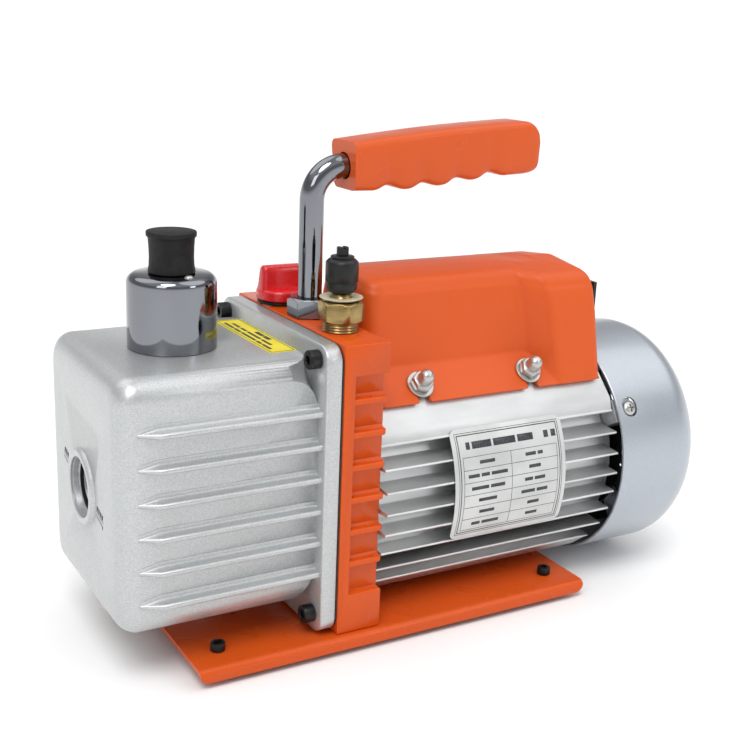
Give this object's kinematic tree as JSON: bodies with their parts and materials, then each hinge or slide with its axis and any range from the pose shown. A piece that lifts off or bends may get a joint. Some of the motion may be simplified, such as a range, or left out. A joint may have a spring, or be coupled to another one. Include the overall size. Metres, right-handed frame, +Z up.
{
  "type": "rotary vane vacuum pump",
  "caption": "Oil-sealed rotary vane vacuum pump with a finned motor, a ribbed oil tank and a carrying handle, standing on a folded plate with rubber feet.",
  "frame": {"origin": "on the floor, under the middle of the pump's bounding box", "axes": "+X along the shaft towards the fan cover, +Y away from the inlet side, +Z up"},
  "size_m": [0.3302, 0.1276, 0.2447],
  "materials": {
    "orange_paint": "gloss",
    "silver_paint": "satin",
    "cover_paint": "satin",
    "bare_aluminium": "satin",
    "chrome": "polished",
    "zinc_steel": "satin",
    "machined_steel": "satin",
    "cast_iron": "matte",
    "brass": "satin",
    "copper_wire": "satin",
    "black_oxide_steel": "satin",
    "black_rubber": "matte",
    "black_plastic": "satin",
    "orange_plastic": "satin",
    "red_plastic": "gloss",
    "nylon": "satin",
    "capacitor_plastic": "matte",
    "gasket_sheet": "matte",
    "sight_glass": "gloss",
    "vane_carbon": "matte"
  },
  "bodies": {
    "pump": {"base_plate": "orange_paint", "pump_body": "orange_paint", "oil_tank": "silver_paint", "fan_cover": "cover_paint", "motor_housing": "bare_aluminium", "rear_end_bell": "bare_aluminium", "exhaust_housing": "chrome", "handle_rod": "chrome", "handle_nut": "chrome", "oil_drain_plug": "zinc_steel", "fan_cover_screw_1": "zinc_steel", "fan_cover_screw_2": "zinc_steel", "fan_cover_screw_3": "zinc_steel", "cap_nut_1": "zinc_steel", "cap_nut_2": "zinc_steel", "cap_nut_3": "zinc_steel", "cap_nut_4": "zinc_steel", "exhaust_valve": "machined_steel", "front_bearing": "machined_steel", "rear_bearing": "machined_steel", "first_stage_cylinder": "cast_iron", "second_stage_cylinder": "cast_iron", "pump_end_cover": "cast_iron", "stator_core": "cast_iron", "inlet_fitting": "brass", "stator_winding": "copper_wire", "foot_screw_1": "black_oxide_steel", "foot_screw_2": "black_oxide_steel", "foot_screw_3": "black_oxide_steel", "foot_screw_4": "black_oxide_steel", "tank_screw_1": "black_oxide_steel", "tank_screw_2": "black_oxide_steel", "tank_screw_3": "black_oxide_steel", "tank_screw_4": "black_oxide_steel", "rubber_foot_1": "black_rubber", "rubber_foot_2": "black_rubber", "rubber_foot_3": "black_rubber", "rubber_foot_4": "black_rubber", "gas_ballast_valve": "black_plastic", "switch_housing": "black_plastic", "power_inlet": "black_plastic", "handle_grip": "orange_plastic", "terminal_box": "orange_plastic", "inlet_washer": "nylon", "mist_filter": "nylon", "run_capacitor": "capacitor_plastic", "tank_gasket": "gasket_sheet", "sight_glass": "sight_glass"},
    "shaft": {"motor_shaft": "machined_steel", "motor_rotor": "machined_steel", "cooling_fan": "black_plastic", "pump_rotor": "machined_steel", "vane_1_1": "vane_carbon", "vane_1_2": "vane_carbon", "vane_2_1": "vane_carbon", "vane_2_2": "vane_carbon"},
    "ballast_knob": {"gas_ballast_knob": "red_plastic"},
    "rocker": {"switch_rocker": "black_plastic"},
    "exhaust_cap": {"exhaust_cap": "black_rubber"},
    "inlet_cap": {"inlet_cap": "black_plastic"}
  },
  "joints": [
    {"name": "shaft_spin", "type": "hinge", "parent": "pump", "child": "shaft", "pos_m": [0, 0, 0.0682], "axis": [1, 0, 0], "continuous": true},
    {"name": "gas_ballast_turn", "type": "hinge", "parent": "pump", "child": "ballast_knob", "pos_m": [-0.0487, 0.032, 0], "axis": [0, 0, 1], "range_deg": [0, 90]},
    {"name": "switch_rock", "type": "hinge", "parent": "pump", "child": "rocker", "pos_m": [0.1012, 0.017, 0.1525], "axis": [0, -1, 0], "range_deg": [0, 16]},
    {"name": "exhaust_cap_lift", "type": "slide", "parent": "pump", "child": "exhaust_cap", "axis": [0, 0, 1], "range_m": [0, 0.025]},
    {"name": "inlet_cap_lift", "type": "slide", "parent": "pump", "child": "inlet_cap", "axis": [0, 0, 1], "range_m": [0, 0.02]}
  ]
}
